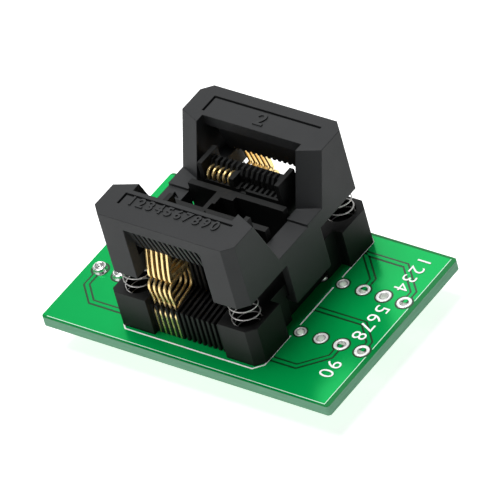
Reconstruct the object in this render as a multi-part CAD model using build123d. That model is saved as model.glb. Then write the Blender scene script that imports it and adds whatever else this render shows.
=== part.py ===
"""IC programming adapter: a DIP board with an open-top test socket for a narrow 0.65 mm pitch IC.

Sizes are in millimetres. X runs along the board, Y across it and Z up. The origin is under the centre of
the board's outline, at the lower ends of its pins. The socket is drawn about its own middle, with Z
counted from the top of the board, and is moved to its place at the end.
"""

from build123d import *
from math import cos, pi, sin
import os

# Circuit board
BOARD_END_MARGIN = 1.59
BOARD_FRONT_MARGIN = 2.2
BOARD_REAR_MARGIN = 0.2
BOARD_THICKNESS = 1.2
BOARD_CORNER_RADIUS = 0.4

# Pins and plated holes on the DIP grid
PIN_PITCH = 2.54
PIN_ROW_SPACING = 7.62
PINS_PER_ROW = 14
FITTED_PINS = 5
PIN_ROWS_X = 0.11
PIN_ROWS_Y = 0.34
PIN_REACH = 3.2
PIN_RADIUS = 0.25
PIN_COLLAR_RADIUS = 0.62
PIN_COLLAR_HEIGHT = 0.7
PLATED_HOLE_RADIUS = 0.42
PIN_HOLE_CLEARANCE = 0.02
SOLDER_DOME_RADIUS = 0.9
SOLDER_DOME_TOP_RADIUS = 0.45
SOLDER_DOME_HEIGHT = 0.62
DOMED_PINS = 3
SMALL_ROUND_SIDES = 10

# Room between the last solder dome and the left end of the socket
SOCKET_GAP = 1.02

# Contact rows
CONTACT_PITCH = 0.65
CONTACTS_PER_ROW = 14
FITTED_CONTACTS = 5
SLOT_WIDTH = 0.36
BLADE_CLEARANCE = 0.08

# Outline of a contact, from the middle of the socket outwards
TAIL_SETBACK = 0.05
TAIL_WIDTH = 0.3
TAIL_REACH = 0.8
TAIL_HOLE_CLEARANCE = 0.04
FOOT_LENGTH = 3.0
FOOT_HEIGHT = 2.1
NECK_SETBACK = 0.3
RING_SETBACK = 0.15
RING_HEIGHT = 3.3
RING_CORNER = 1.3
STRIP_WIDTH = 0.36
ARM_WIDTH = 0.45
FINGER_REACH = 1.65
FINGER_WIDTH = 0.5
TIP_WIDTH = 0.3
ARCH_HEIGHT = 1.15
ARCH_WIDTH = 0.38
TIP_CLEARANCE = 0.05
LEVER_TOP_WIDTH = 0.45
LEVER_SWELL = 1.05

# Socket base
LEG_FRONT_REACH = 0.6
LEG_HEIGHT = 4.6
LEG_DEPTH = 4.9
LEG_CHAMFER = 0.93
LEFT_LEG_CHAMFER = 0.4
SHOULDER_STEP = 0.5
COMB_END_WALL = 0.55
COMB_FRONT_DEPTH = 3.7
COMB_FRONT_HEIGHT = 3.7
COMB_FRONT_RISE = 0.4
COMB_BACK_SLOPE = 1.45
COMB_BACK_DROP = 1.75
COMB_RISE = 1.45
COMB_TOP_WIDTH = 0.75
RIB_SETBACK = 0.77
RIB_NOSE = 0.5
RIB_NOSE_DROP = 0.6
END_WALL_DEPTH = 1.3
END_WALL_RISE = 0.65
COMB_DIVIDER_WIDTH = 0.6
COMB_DIVIDER_DROP = 0.35
SLOT_FLOOR = 0.4
SEAT_HEIGHT = 10.2
SEAT_INNER = 2.45
SEAT_WIDTH = 0.28
SEAT_WALL = 0.45
SEAT_GAP = 0.8
NEST_END_REACH = 0.9
NEST_GROOVE_WIDTH = 0.47
NEST_GROOVE_DEPTH = 0.85
NEST_RISE = 0.05
CHANNEL_HALF_WIDTH = 1.27
CHANNEL_FLOOR = 5.0
DIVIDER_X = -2.02
DIVIDER_WIDTH = 0.55
DIVIDER_STEP_LENGTH = 0.32
DIVIDER_STEP_START = -0.4
DIVIDER_PAD_END = 0.1
DIVIDER_PAD_WIDTH = 0.6

# Springs with their wells in the base and pockets in the cover
SPRING_RADIUS = 1.42
SPRING_WIRE = 0.22
SPRING_TURNS = 6.5
SPRING_STEPS_PER_TURN = 10
SPRING_CLEARANCE = 0.02
WELL_ROOM = 0.12
POCKET_SEAT_ROOM = 0.05
WELL_DEPTH = 2.0
WELL_INNER_WALL = 0.5
WELL_END_WALL = 0.55
WELL_FRONT_WALL = 0.5
POCKET_DEPTH = 1.7
POCKET_WALL = 0.45

# Cover
COVER_INSET = 0.15
COVER_HEIGHT = 7.8
COVER_TRAVEL = 2.2
COVER_PRESSED_GAP = 0.7
COVER_CORNER = 1.05
RAIL_THICKNESS = 1.5
RAIL_STEP = 0.3
RAIL_STEP_Y = 1.3
VALLEY_HALF_FLOOR = 3.8
BAR_DEPTH = 4.25
BAR_THICKNESS = 1.3
OPENING_CLEARANCE = 0.2
WINDOW_ROOM = 0.25
OUTER_WALL = 1.15
PILLAR_LEAN = 1.05
SKIRT_THICKNESS = 0.85
SKIRT_HALF_WIDTH = 3.0
SKIRT_ROOM = 0.2
SKIRT_SIDE_ROOM = 0.3
HOOK_DEPTH = 0.5
HOOK_GAP = 0.1
HOOK_HEIGHT = 0.7
HOOK_PRESSED_GAP = 0.2
COVER_COMB_SETBACK = 1.15
COVER_COMB_THICKNESS = 1.45
COVER_COMB_DEPTH = 3.7
COVER_COMB_OUTER_FLARE = 1.15
COVER_COMB_INNER_FLARE = 0.9
COVER_COMB_CHAMFER = 0.15
CAM_WALL = 0.2
CAM_WALL_RISE = 0.3
GROOVE_WIDTH = 0.28
GROOVE_DEPTH = 0.3
GROOVE_END_MARGIN = 2.05
FRONT_GROOVE_MARGIN = 0.65
FRONT_GROOVE_LEG = 1.5
REAR_GROOVE_MARGIN = 1.45
REAR_GROOVE_LEG = 2.2
MARK_LENGTH = 0.95
MARK_WIDTH = 0.7
MARK_DEPTH = 0.5
MARK_INSET = 0.4

# Heights that follow from those above
BOARD_TOP = PIN_REACH + BOARD_THICKNESS
NEST_HEIGHT = SEAT_HEIGHT + NEST_RISE
COMB_TOP = SEAT_HEIGHT + COMB_RISE
RING_TOP = COMB_FRONT_HEIGHT + RING_HEIGHT
SHOULDER_HEIGHT = HOOK_PRESSED_GAP + COVER_TRAVEL + HOOK_HEIGHT + HOOK_GAP
WELL_FLOOR = LEG_HEIGHT - WELL_DEPTH
COVER_BOTTOM = LEG_HEIGHT + COVER_PRESSED_GAP + COVER_TRAVEL
COVER_TOP = COVER_BOTTOM + COVER_HEIGHT
RAIL_HEIGHT = COVER_BOTTOM + RAIL_THICKNESS
POCKET_ROOF = COVER_BOTTOM + POCKET_DEPTH
BAR_UNDERSIDE = COVER_TOP - BAR_THICKNESS
COVER_COMB_BOTTOM = BAR_UNDERSIDE - COVER_COMB_DEPTH

# Sizes across the socket that follow, from its middle outwards
NEST_HALF_DEPTH = SEAT_INNER - NEST_GROOVE_WIDTH
SEAT_OUTER = SEAT_INNER + SEAT_WIDTH
FINGER_INNER = SEAT_INNER + FINGER_REACH
RIB_INNER = SEAT_OUTER + RIB_SETBACK
COMB_TOP_INNER = RIB_INNER + RIB_NOSE
COMB_BACK = COMB_TOP_INNER + COMB_TOP_WIDTH + COMB_BACK_SLOPE
COMB_FRONT = COMB_BACK + COMB_FRONT_DEPTH
TAIL_FRONT = COMB_FRONT - TAIL_SETBACK
COVER_COMB_INNER = COMB_BACK + COVER_COMB_SETBACK
COVER_COMB_OUTER = COVER_COMB_INNER + COVER_COMB_THICKNESS
BASE_DEPTH = 2 * (COMB_FRONT + LEG_FRONT_REACH)
COVER_HALF_DEPTH = BASE_DEPTH / 2 - COVER_INSET
BAR_INNER = COVER_HALF_DEPTH - BAR_DEPTH
WELL_RADIUS = SPRING_RADIUS + SPRING_WIRE / 2 + WELL_ROOM
SPRING_Y = BASE_DEPTH / 2 - WELL_FRONT_WALL - WELL_RADIUS

# Sizes along the socket that follow, from its middle outwards
BLADE_THICKNESS = SLOT_WIDTH - 2 * BLADE_CLEARANCE
COMB_HALF_LENGTH = CONTACTS_PER_ROW * CONTACT_PITCH / 2
WINDOW_HALF_LENGTH = COMB_HALF_LENGTH + WINDOW_ROOM
COMB_END = COMB_HALF_LENGTH + COMB_END_WALL
NEST_HALF_LENGTH = COMB_END + NEST_END_REACH
OPENING_HALF_LENGTH = NEST_HALF_LENGTH + OPENING_CLEARANCE
SPRING_X = COMB_HALF_LENGTH + WELL_INNER_WALL + WELL_RADIUS
BASE_LENGTH = 2 * (SPRING_X + WELL_RADIUS + WELL_END_WALL)
COVER_HALF_LENGTH = BASE_LENGTH / 2 - COVER_INSET
BODY_HALF_LENGTH = COVER_HALF_LENGTH - SKIRT_THICKNESS - SKIRT_ROOM

# The board's outline, and the place of the socket on it
BOARD_LENGTH = (PINS_PER_ROW - 1) * PIN_PITCH + 2 * BOARD_END_MARGIN
BOARD_WIDTH = BASE_DEPTH + BOARD_FRONT_MARGIN + BOARD_REAR_MARGIN
LAST_DOME_X = PIN_ROWS_X + (DOMED_PINS - 1 - (PINS_PER_ROW - 1) / 2) * PIN_PITCH
SOCKET_X = LAST_DOME_X + SOLDER_DOME_RADIUS + SOCKET_GAP + BASE_LENGTH / 2
SOCKET_Y = (BOARD_FRONT_MARGIN - BOARD_REAR_MARGIN) / 2

# How far a cutter reaches past what it cuts
CUT = 1.0

UPRIGHT = (Align.CENTER, Align.CENTER, Align.MIN)
SOCKET = Pos(SOCKET_X, SOCKET_Y, BOARD_TOP)


def outline(*corners):
    """A flat face with straight edges, from its corners as pairs."""
    return make_face(Polyline(*corners, close=True))


def rectangle(first, second):
    """A flat rectangle between the two limits given for each of its directions."""
    return outline((first[0], second[0]), (first[1], second[0]), (first[1], second[1]), (first[0], second[1]))


def small_round(radius, height):
    """Upright prism for the many small round features, with few sides and its foot at the origin."""
    return extrude(RegularPolygon(radius, SMALL_ROUND_SIDES), amount=height)


def along_x(section, start, end):
    """Sweep a section, drawn as (y, z), along X from start to end."""
    return Pos(start, 0, 0) * extrude(Plane.YZ * section, amount=end - start)


def block(x, y, z):
    """A box between the two limits given for each direction."""
    limits = (x, y, z)
    size = [high - low for low, high in limits]
    middle = [(high + low) / 2 for low, high in limits]
    return Pos(*middle) * Box(*size)


def with_mirror(solid, plane):
    """The solid joined with its mirror image."""
    return solid + mirror(solid, about=plane)


def four_corners(solid):
    """The solid at all four corners of the socket."""
    return with_mirror(with_mirror(solid, Plane.YZ), Plane.XZ)


def slot_centre(index):
    """X of a contact slot, counted from the left end of its row."""
    return (index - (CONTACTS_PER_ROW - 1) / 2) * CONTACT_PITCH


def slot_tools(section):
    """Cutters for the contact slots of both rows, from the slot's section in the rear row."""
    half = SLOT_WIDTH / 2
    centres = [slot_centre(index) for index in range(CONTACTS_PER_ROW)]
    rear = [along_x(section, x - half, x + half) for x in centres]
    return rear + [mirror(tool, about=Plane.XZ) for tool in rear]


def pin_place(index, side):
    """Place on the pin grid, counted from the left end; side is -1 for the front row and 1 for the rear."""
    x = PIN_ROWS_X + (index - (PINS_PER_ROW - 1) / 2) * PIN_PITCH
    return x, PIN_ROWS_Y + side * PIN_ROW_SPACING / 2


def circuit_board():
    """Laminate with the plated holes of the pin grid and the holes for the contacts' tails."""
    board = Pos(0, 0, PIN_REACH) * Box(BOARD_LENGTH, BOARD_WIDTH, BOARD_THICKNESS, align=UPRIGHT)
    board = fillet(board.edges().filter_by(Axis.Z), BOARD_CORNER_RADIUS)
    below = PIN_REACH - CUT
    depth = BOARD_THICKNESS + 2 * CUT
    plated_hole = small_round(PLATED_HOLE_RADIUS, depth)
    tail_half_diagonal = (TAIL_WIDTH**2 + BLADE_THICKNESS**2) ** 0.5 / 2
    tail_hole = small_round(tail_half_diagonal + TAIL_HOLE_CLEARANCE, depth)
    holes = []
    for side in (-1, 1):
        places = [pin_place(index, side) for index in range(PINS_PER_ROW)]
        holes += [Pos(x, y, below) * plated_hole for x, y in places]
        tail_y = SOCKET_Y + side * (TAIL_FRONT - TAIL_WIDTH / 2)
        tails = [SOCKET_X + slot_centre(index) for index in range(FITTED_CONTACTS)]
        holes += [Pos(x, tail_y, below) * tail_hole for x in tails]
    return board - holes


def pin(x, y):
    """Turned pin: a stem in the plated hole, a collar against the underside and a thin tail."""
    collar_bottom = PIN_REACH - PIN_COLLAR_HEIGHT
    tail = Cylinder(PIN_RADIUS, collar_bottom, align=UPRIGHT)
    collar = Pos(0, 0, collar_bottom) * small_round(PIN_COLLAR_RADIUS, PIN_COLLAR_HEIGHT)
    stem = Pos(0, 0, PIN_REACH) * small_round(PLATED_HOLE_RADIUS - PIN_HOLE_CLEARANCE, BOARD_THICKNESS)
    return Pos(x, y, 0) * (tail + collar + stem)


def solder_joint(x, y):
    """Dome of solder over the pad and the top of its pin."""
    foot = RegularPolygon(SOLDER_DOME_RADIUS, SMALL_ROUND_SIDES)
    top = Pos(0, 0, SOLDER_DOME_HEIGHT) * RegularPolygon(SOLDER_DOME_TOP_RADIUS, SMALL_ROUND_SIDES)
    return Pos(x, y, BOARD_TOP) * loft([foot.face(), top.face()])


def base_comb_section():
    """Half section of the base through a rib of its comb, from the middle of the socket outwards."""
    return outline(
        (0, 0),
        (COMB_FRONT, 0),
        (COMB_FRONT, COMB_FRONT_HEIGHT),
        (COMB_BACK, COMB_FRONT_HEIGHT + COMB_FRONT_RISE),
        (COMB_BACK, COMB_TOP - COMB_BACK_DROP),
        (COMB_TOP_INNER + COMB_TOP_WIDTH, COMB_TOP),
        (COMB_TOP_INNER, COMB_TOP),
        (RIB_INNER, COMB_TOP - RIB_NOSE_DROP),
        (RIB_INNER, SEAT_HEIGHT),
        (SEAT_INNER, SEAT_HEIGHT),
        (SEAT_INNER, NEST_HEIGHT - NEST_GROOVE_DEPTH),
        (0, NEST_HEIGHT - NEST_GROOVE_DEPTH),
    )


def base_slot_section():
    """Section of a slot: it is open upwards and outwards, and downwards where the tail goes through."""
    core = SEAT_INNER + SEAT_WALL
    tail_room = TAIL_FRONT - TAIL_WIDTH - BLADE_CLEARANCE
    return outline(
        (core, SLOT_FLOOR),
        (tail_room, SLOT_FLOOR),
        (tail_room, -CUT),
        (COMB_FRONT + CUT, -CUT),
        (COMB_FRONT + CUT, COMB_TOP + CUT),
        (SEAT_OUTER, COMB_TOP + CUT),
        (SEAT_OUTER, SEAT_HEIGHT),
        (core, SEAT_HEIGHT - SEAT_WALL),
    )


def comb_end_wall():
    """Wall that closes one end of the rear comb and stands a little above its ribs."""
    top = COMB_TOP + END_WALL_RISE
    depth = (SEAT_INNER, COMB_TOP_INNER + END_WALL_DEPTH)
    return block((COMB_HALF_LENGTH, COMB_END), depth, (SEAT_HEIGHT - SEAT_WALL, top))


def comb_divider():
    """Block that closes the rear comb's slot next to the last fitted contact."""
    start = slot_centre(FITTED_CONTACTS - 1) + SLOT_WIDTH / 2
    height = (SEAT_HEIGHT - SEAT_WALL / 2, COMB_TOP - COMB_DIVIDER_DROP)
    return block((start, start + COMB_DIVIDER_WIDTH), (SEAT_INNER, COMB_TOP_INNER), height)


def base_leg(edge_chamfer):
    """Rear right leg with its chamfered outer edge."""
    outer = (BASE_LENGTH / 2, BASE_DEPTH / 2)
    leg = block((COMB_HALF_LENGTH, outer[0]), (outer[1] - LEG_DEPTH, outer[1]), (0, LEG_HEIGHT))
    corner = leg.edges().filter_by(Axis.Z).sort_by_distance((*outer, LEG_HEIGHT / 2))[0]
    return chamfer(corner, edge_chamfer)


def nest_divider():
    """Rib across the nest's channel, thicker to the rear, with a pad at its rear end."""
    height = (CHANNEL_FLOOR, NEST_HEIGHT)
    wall = CHANNEL_HALF_WIDTH
    face = DIVIDER_X + DIVIDER_WIDTH / 2
    rib = block((face - DIVIDER_WIDTH, face), (-wall, wall), height)
    step = block((face, face + DIVIDER_STEP_LENGTH), (DIVIDER_STEP_START, wall), height)
    pad = block((face, DIVIDER_PAD_END), (wall - DIVIDER_PAD_WIDTH, wall), height)
    return rib + step + pad


def socket_base():
    """Moulded base: body, four legs, two combs and the nest between them."""
    body = block((-BODY_HALF_LENGTH, BODY_HALF_LENGTH), (-COMB_BACK, COMB_BACK), (0, LEG_HEIGHT))
    comb = along_x(base_comb_section(), -COMB_END, COMB_END)
    end_room = block((COMB_HALF_LENGTH, COMB_END + CUT), (COMB_BACK, BASE_DEPTH), (0, LEG_HEIGHT))
    comb -= with_mirror(end_room, Plane.YZ)
    nest_length = (-NEST_HALF_LENGTH, NEST_HALF_LENGTH)
    nest = block(nest_length, (-NEST_HALF_DEPTH, NEST_HALF_DEPTH), (0, NEST_HEIGHT))
    base = body + with_mirror(comb, Plane.XZ) + nest + with_mirror(base_leg(LEG_CHAMFER), Plane.XZ)
    base += with_mirror(mirror(base_leg(LEFT_LEG_CHAMFER), about=Plane.YZ), Plane.XZ)
    channel_length = (-NEST_HALF_LENGTH - CUT, NEST_HALF_LENGTH + CUT)
    channel_width = (-CHANNEL_HALF_WIDTH, CHANNEL_HALF_WIDTH)
    channel = block(channel_length, channel_width, (CHANNEL_FLOOR, NEST_HEIGHT + CUT))
    hook_room_width = SKIRT_HALF_WIDTH + SKIRT_SIDE_ROOM
    hook_room = block(
        (BODY_HALF_LENGTH - SHOULDER_STEP, BODY_HALF_LENGTH + CUT),
        (-hook_room_width, hook_room_width),
        (-CUT, SHOULDER_HEIGHT),
    )
    gap_height = (SEAT_HEIGHT - SEAT_WALL, SEAT_HEIGHT + CUT)
    gap = block((-SEAT_GAP / 2, SEAT_GAP / 2), (SEAT_INNER - CUT, SEAT_OUTER), gap_height)
    gaps = with_mirror(gap, Plane.XZ) - nest
    well = Pos(SPRING_X, SPRING_Y, WELL_FLOOR) * Cylinder(WELL_RADIUS, LEG_HEIGHT, align=UPRIGHT)
    tools = [channel, gaps, with_mirror(hook_room, Plane.YZ), four_corners(well)]
    base -= slot_tools(base_slot_section()) + tools
    base += four_corners(comb_end_wall()) + with_mirror(comb_divider(), Plane.XZ)
    return SOCKET * (base + nest_divider())


def cover_shell():
    """Cover without its details: rails at both ends, with a wall and a bar on pillars along each side."""
    slope = (BAR_INNER - VALLEY_HALF_FLOOR) / (COVER_TOP - RAIL_HEIGHT)
    section = outline(
        (-COVER_HALF_DEPTH, COVER_BOTTOM),
        (COVER_HALF_DEPTH, COVER_BOTTOM),
        (COVER_HALF_DEPTH, COVER_TOP),
        (BAR_INNER, COVER_TOP),
        (VALLEY_HALF_FLOOR + slope * RAIL_STEP, RAIL_HEIGHT + RAIL_STEP),
        (RAIL_STEP_Y, RAIL_HEIGHT + RAIL_STEP),
        (RAIL_STEP_Y, RAIL_HEIGHT),
        (-VALLEY_HALF_FLOOR, RAIL_HEIGHT),
        (-BAR_INNER, COVER_TOP),
        (-COVER_HALF_DEPTH, COVER_TOP),
    )
    shell = along_x(section, -COVER_HALF_LENGTH, COVER_HALF_LENGTH)
    wedge = outline(
        (OPENING_HALF_LENGTH, VALLEY_HALF_FLOOR),
        (OPENING_HALF_LENGTH, VALLEY_HALF_FLOOR - PILLAR_LEAN),
        (COVER_HALF_LENGTH, VALLEY_HALF_FLOOR),
    )
    rise = Vector(0, BAR_INNER - VALLEY_HALF_FLOOR, COVER_TOP - RAIL_HEIGHT)
    lean = Pos(0, 0, RAIL_HEIGHT) * extrude(wedge, amount=rise.length, dir=rise)
    shell = shell + four_corners(lean)
    opening = (-OPENING_HALF_LENGTH, OPENING_HALF_LENGTH)
    inner_wall = COVER_HALF_DEPTH - OUTER_WALL
    below = COVER_BOTTOM - CUT
    shell -= block(opening, (-BAR_INNER, BAR_INNER), (below, COVER_TOP + CUT))
    shell -= block(opening, (-inner_wall, inner_wall), (below, BAR_UNDERSIDE))
    window = (-WINDOW_HALF_LENGTH, WINDOW_HALF_LENGTH)
    shell -= block(window, (-COVER_HALF_DEPTH - CUT, COVER_HALF_DEPTH + CUT), (below, BAR_UNDERSIDE))
    corners = shell.edges().filter_by(Axis.Z).group_by(lambda edge: abs(edge.center().X))[-1]
    corners = corners.group_by(lambda edge: abs(edge.center().Y))[-1]
    return chamfer(corners, COVER_CORNER)


def cover_comb():
    """Comb under one bar: its slots take the contacts' levers, and its inner wall pushes them outwards."""
    inside_bar = BAR_UNDERSIDE + BAR_THICKNESS / 2
    section = outline(
        (COVER_COMB_OUTER + COVER_COMB_OUTER_FLARE, inside_bar),
        (COVER_COMB_OUTER + COVER_COMB_OUTER_FLARE, BAR_UNDERSIDE),
        (COVER_COMB_OUTER, COVER_COMB_BOTTOM + COVER_COMB_CHAMFER),
        (COVER_COMB_OUTER - COVER_COMB_CHAMFER, COVER_COMB_BOTTOM),
        (COVER_COMB_INNER, COVER_COMB_BOTTOM),
        (COVER_COMB_INNER - COVER_COMB_INNER_FLARE, BAR_UNDERSIDE),
        (COVER_COMB_INNER - COVER_COMB_INNER_FLARE, inside_bar),
    )
    return along_x(section, -COMB_END, COMB_END)


def cover_slot_section():
    """Section of a slot in the cover's comb, open downwards and outwards."""
    back = COVER_COMB_INNER + CAM_WALL
    wall_bottom = COVER_COMB_BOTTOM + CAM_WALL_RISE
    return outline(
        (COVER_COMB_INNER - CUT, COVER_COMB_BOTTOM - CUT),
        (COVER_HALF_DEPTH + CUT, COVER_COMB_BOTTOM - CUT),
        (COVER_HALF_DEPTH + CUT, BAR_UNDERSIDE),
        (back, BAR_UNDERSIDE),
        (back, wall_bottom),
        (COVER_COMB_INNER - CUT, wall_bottom),
    )


def skirt():
    """Skirt that hangs from a rail and hooks under the shoulder of the base."""
    inner = COVER_HALF_LENGTH - SKIRT_THICKNESS
    hook_top = SHOULDER_HEIGHT - HOOK_GAP
    bottom = hook_top - HOOK_HEIGHT
    section = outline(
        (inner - HOOK_DEPTH, bottom + HOOK_DEPTH / 2),
        (inner - HOOK_DEPTH / 2, bottom),
        (COVER_HALF_LENGTH, bottom),
        (COVER_HALF_LENGTH, COVER_BOTTOM + CUT),
        (inner, COVER_BOTTOM + CUT),
        (inner, hook_top),
        (inner - HOOK_DEPTH, hook_top),
    )
    return Pos(0, SKIRT_HALF_WIDTH, 0) * extrude(Plane.XZ * section, amount=2 * SKIRT_HALF_WIDTH)


def bar_groove(y, leg):
    """Shallow L-shaped groove in the top of a bar, with its short leg towards the front."""
    half = GROOVE_WIDTH / 2
    reach = COVER_HALF_LENGTH - GROOVE_END_MARGIN
    depth = (COVER_TOP - GROOVE_DEPTH, COVER_TOP + CUT)
    run = block((-reach, reach), (y - half, y + half), depth)
    end = block((-reach, -reach + GROOVE_WIDTH), (y - leg, y), depth)
    return run + end


def position_mark():
    """Triangular recess in the left rail that marks the first contact's end of the socket."""
    right = -OPENING_HALF_LENGTH - MARK_INSET
    left = right - MARK_LENGTH
    mark = outline((left, 0), (right, 0), (left, MARK_WIDTH))
    return Pos(0, 0, RAIL_HEIGHT - MARK_DEPTH) * extrude(mark, amount=MARK_DEPTH + CUT)


def cover():
    """Sprung cover that is pressed down to open the contacts."""
    seat_length = (WINDOW_HALF_LENGTH, OPENING_HALF_LENGTH + POCKET_WALL)
    seat_depth = (COMB_BACK + POCKET_SEAT_ROOM, COVER_HALF_DEPTH - OUTER_WALL / 2)
    seat = block(seat_length, seat_depth, (COVER_BOTTOM, POCKET_ROOF + POCKET_WALL))
    pocket = Pos(SPRING_X, SPRING_Y, COVER_BOTTOM) * Cylinder(WELL_RADIUS, 2 * POCKET_DEPTH)
    shell = cover_shell() + with_mirror(cover_comb(), Plane.XZ) + four_corners(seat)
    shell += with_mirror(skirt(), Plane.YZ)
    tools = slot_tools(cover_slot_section())
    tools += [four_corners(pocket), position_mark()]
    tools.append(bar_groove(-BAR_INNER - FRONT_GROOVE_MARGIN, FRONT_GROOVE_LEG))
    tools.append(bar_groove(COVER_HALF_DEPTH - REAR_GROOVE_MARGIN, REAR_GROOVE_LEG))
    return SOCKET * (shell - tools)


def spring(x, y):
    """Compression spring between its well in the base and its pocket in the cover."""
    bottom = WELL_FLOOR + SPRING_CLEARANCE + SPRING_WIRE / 2
    height = POCKET_ROOF - SPRING_CLEARANCE - SPRING_WIRE / 2 - bottom
    steps = round(SPRING_TURNS * SPRING_STEPS_PER_TURN)
    angles = [2 * pi * SPRING_TURNS * step / steps for step in range(steps + 1)]
    turns = [(SPRING_RADIUS * cos(angle), SPRING_RADIUS * sin(angle)) for angle in angles]
    path = Polyline(*[(*place, height * step / steps) for step, place in enumerate(turns)])
    wire = Plane(path @ 0, x_dir=(0, 0, 1), z_dir=path % 0) * Rectangle(SPRING_WIRE, SPRING_WIRE)
    return SOCKET * Pos(x, y, bottom) * sweep(wire, path, transition=Transition.RIGHT)


def contact_ring():
    """Ring-shaped spring part of a contact, which stands on the comb's low front."""
    front = TAIL_FRONT - BLADE_CLEARANCE
    back = COMB_BACK - RING_SETBACK
    front_bottom = COMB_FRONT_HEIGHT - RING_SETBACK
    back_bottom = front_bottom + COMB_FRONT_RISE + RING_SETBACK
    inside_front = front - STRIP_WIDTH
    inside_back = back + STRIP_WIDTH
    inside_top = RING_TOP - STRIP_WIDTH
    inside_corner = back_bottom + 1.5 * STRIP_WIDTH
    outside = outline((front, front_bottom), (front, RING_TOP), (back, RING_TOP), (back, back_bottom))
    outside_vertex = outside.vertices().sort_by_distance((front, RING_TOP))[0]
    outside = fillet(outside_vertex, RING_CORNER)
    inside = outline(
        (inside_front, front_bottom + STRIP_WIDTH),
        (inside_front, inside_top),
        (inside_back, inside_top),
        (inside_back, inside_corner + STRIP_WIDTH),
        (inside_back + STRIP_WIDTH, inside_corner),
    )
    inside_vertex = inside.vertices().sort_by_distance((inside_front, inside_top))[0]
    inside = fillet(inside_vertex, RING_CORNER - STRIP_WIDTH)
    return outside - inside


def contact_lever():
    """Upper part of a contact: the lever in the cover's comb, the arm and the finger over the IC's lead."""
    slot_back = COVER_COMB_INNER + CAM_WALL + 2.5 * BLADE_CLEARANCE
    lever_top = BAR_UNDERSIDE - COVER_TRAVEL - 2.5 * BLADE_CLEARANCE
    knee = RING_TOP + LEVER_SWELL
    knee_front = TAIL_FRONT - 2 * STRIP_WIDTH
    arm_top = RING_TOP + ARM_WIDTH
    finger_outer = FINGER_INNER + FINGER_WIDTH
    tip_bottom = SEAT_HEIGHT + TIP_CLEARANCE
    tip_outer = SEAT_INNER + TIP_WIDTH
    arch = tip_bottom + ARCH_HEIGHT
    arch_middle = (SEAT_INNER + FINGER_INNER) / 2
    return outline(
        (knee_front - STRIP_WIDTH, RING_TOP - STRIP_WIDTH),
        (knee_front + STRIP_WIDTH / 3, RING_TOP + STRIP_WIDTH),
        (knee_front, knee),
        (slot_back + 2 * LEVER_TOP_WIDTH, COVER_COMB_BOTTOM),
        (slot_back + LEVER_TOP_WIDTH, lever_top),
        (slot_back, lever_top),
        (slot_back + LEVER_TOP_WIDTH / 2, COVER_COMB_BOTTOM),
        (knee_front - 1.6 * STRIP_WIDTH, knee),
        (knee_front - 3.3 * STRIP_WIDTH, arm_top + 0.3),
        (COMB_BACK, arm_top),
        (finger_outer, arm_top + ARM_WIDTH),
        (finger_outer, arch - 2.2 * ARCH_WIDTH),
        (FINGER_INNER, arch - ARCH_WIDTH / 2),
        (arch_middle + ARCH_WIDTH / 2, arch),
        (arch_middle - ARCH_WIDTH / 2, arch - ARCH_WIDTH / 4),
        (SEAT_INNER, arch - 1.5 * ARCH_WIDTH),
        (SEAT_INNER, tip_bottom + TIP_WIDTH / 2),
        (tip_outer - TIP_WIDTH / 2, tip_bottom),
        (tip_outer, tip_bottom),
        (tip_outer + TIP_WIDTH / 4, arch - 1.8 * ARCH_WIDTH),
        (arch_middle, arch - ARCH_WIDTH),
        (FINGER_INNER - TIP_WIDTH, arch - 1.5 * ARCH_WIDTH),
        (FINGER_INNER, arch - 2.5 * ARCH_WIDTH),
        (FINGER_INNER, arm_top),
        (finger_outer, RING_TOP),
        (COMB_BACK + RING_SETBACK, RING_TOP - STRIP_WIDTH / 2),
    )


def contact(index, side):
    """Stamped contact: a tail through the board, a foot in the slot, the spring ring and the lever."""
    tail_back = TAIL_FRONT - TAIL_WIDTH
    neck_front = TAIL_FRONT - NECK_SETBACK
    foot_bottom = SLOT_FLOOR + BLADE_CLEARANCE
    foot_top = foot_bottom + FOOT_HEIGHT
    tail_top = COMB_FRONT_HEIGHT - STRIP_WIDTH
    tail_bottom = -BOARD_THICKNESS - TAIL_REACH
    foot_back = tail_back - FOOT_LENGTH
    neck_back = neck_front - STRIP_WIDTH
    shape = rectangle((tail_back, TAIL_FRONT), (tail_bottom, tail_top))
    shape += rectangle((foot_back, tail_back), (foot_bottom, foot_top))
    shape += rectangle((neck_back, neck_front), (foot_bottom, COMB_FRONT_HEIGHT))
    shape += contact_ring() + contact_lever()
    half = BLADE_THICKNESS / 2
    blade = along_x(shape, slot_centre(index) - half, slot_centre(index) + half)
    if side < 0:
        blade = mirror(blade, about=Plane.XZ)
    return SOCKET * blade


def build_pieces():
    """All pieces by the name of their node."""
    pieces = {
        "circuit_board": circuit_board(),
        "socket_base": socket_base(),
        "cover": cover(),
    }
    for row, side in (("front", -1), ("rear", 1)):
        for index in range(FITTED_PINS):
            x, y = pin_place(index, side)
            pieces[f"{row}_pin_{index + 1}"] = pin(x, y)
            if index < DOMED_PINS:
                pieces[f"{row}_solder_joint_{index + 1}"] = solder_joint(x, y)
        for index in range(FITTED_CONTACTS):
            pieces[f"{row}_contact_{index + 1}"] = contact(index, side)
    corners = {
        "front_left": (-SPRING_X, -SPRING_Y),
        "front_right": (SPRING_X, -SPRING_Y),
        "rear_left": (-SPRING_X, SPRING_Y),
        "rear_right": (SPRING_X, SPRING_Y),
    }
    for corner, (x, y) in corners.items():
        pieces[f"{corner}_spring"] = spring(x, y)
    return pieces


os.makedirs("parts", exist_ok=True)
for name, piece in build_pieces().items():
    export_step(piece, f"parts/{name}.step")
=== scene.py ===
"""IC programming adapter, dressed for its portrait: board, moulded test socket, springs and contacts.

Lengths are in millimetres until a mesh is made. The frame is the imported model's own: X along the board,
Y across it and Z up, with the origin under the board at the lower ends of the pins.
"""

import logging
import math
from collections.abc import Sequence
from dataclasses import dataclass, field
from enum import Enum

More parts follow.
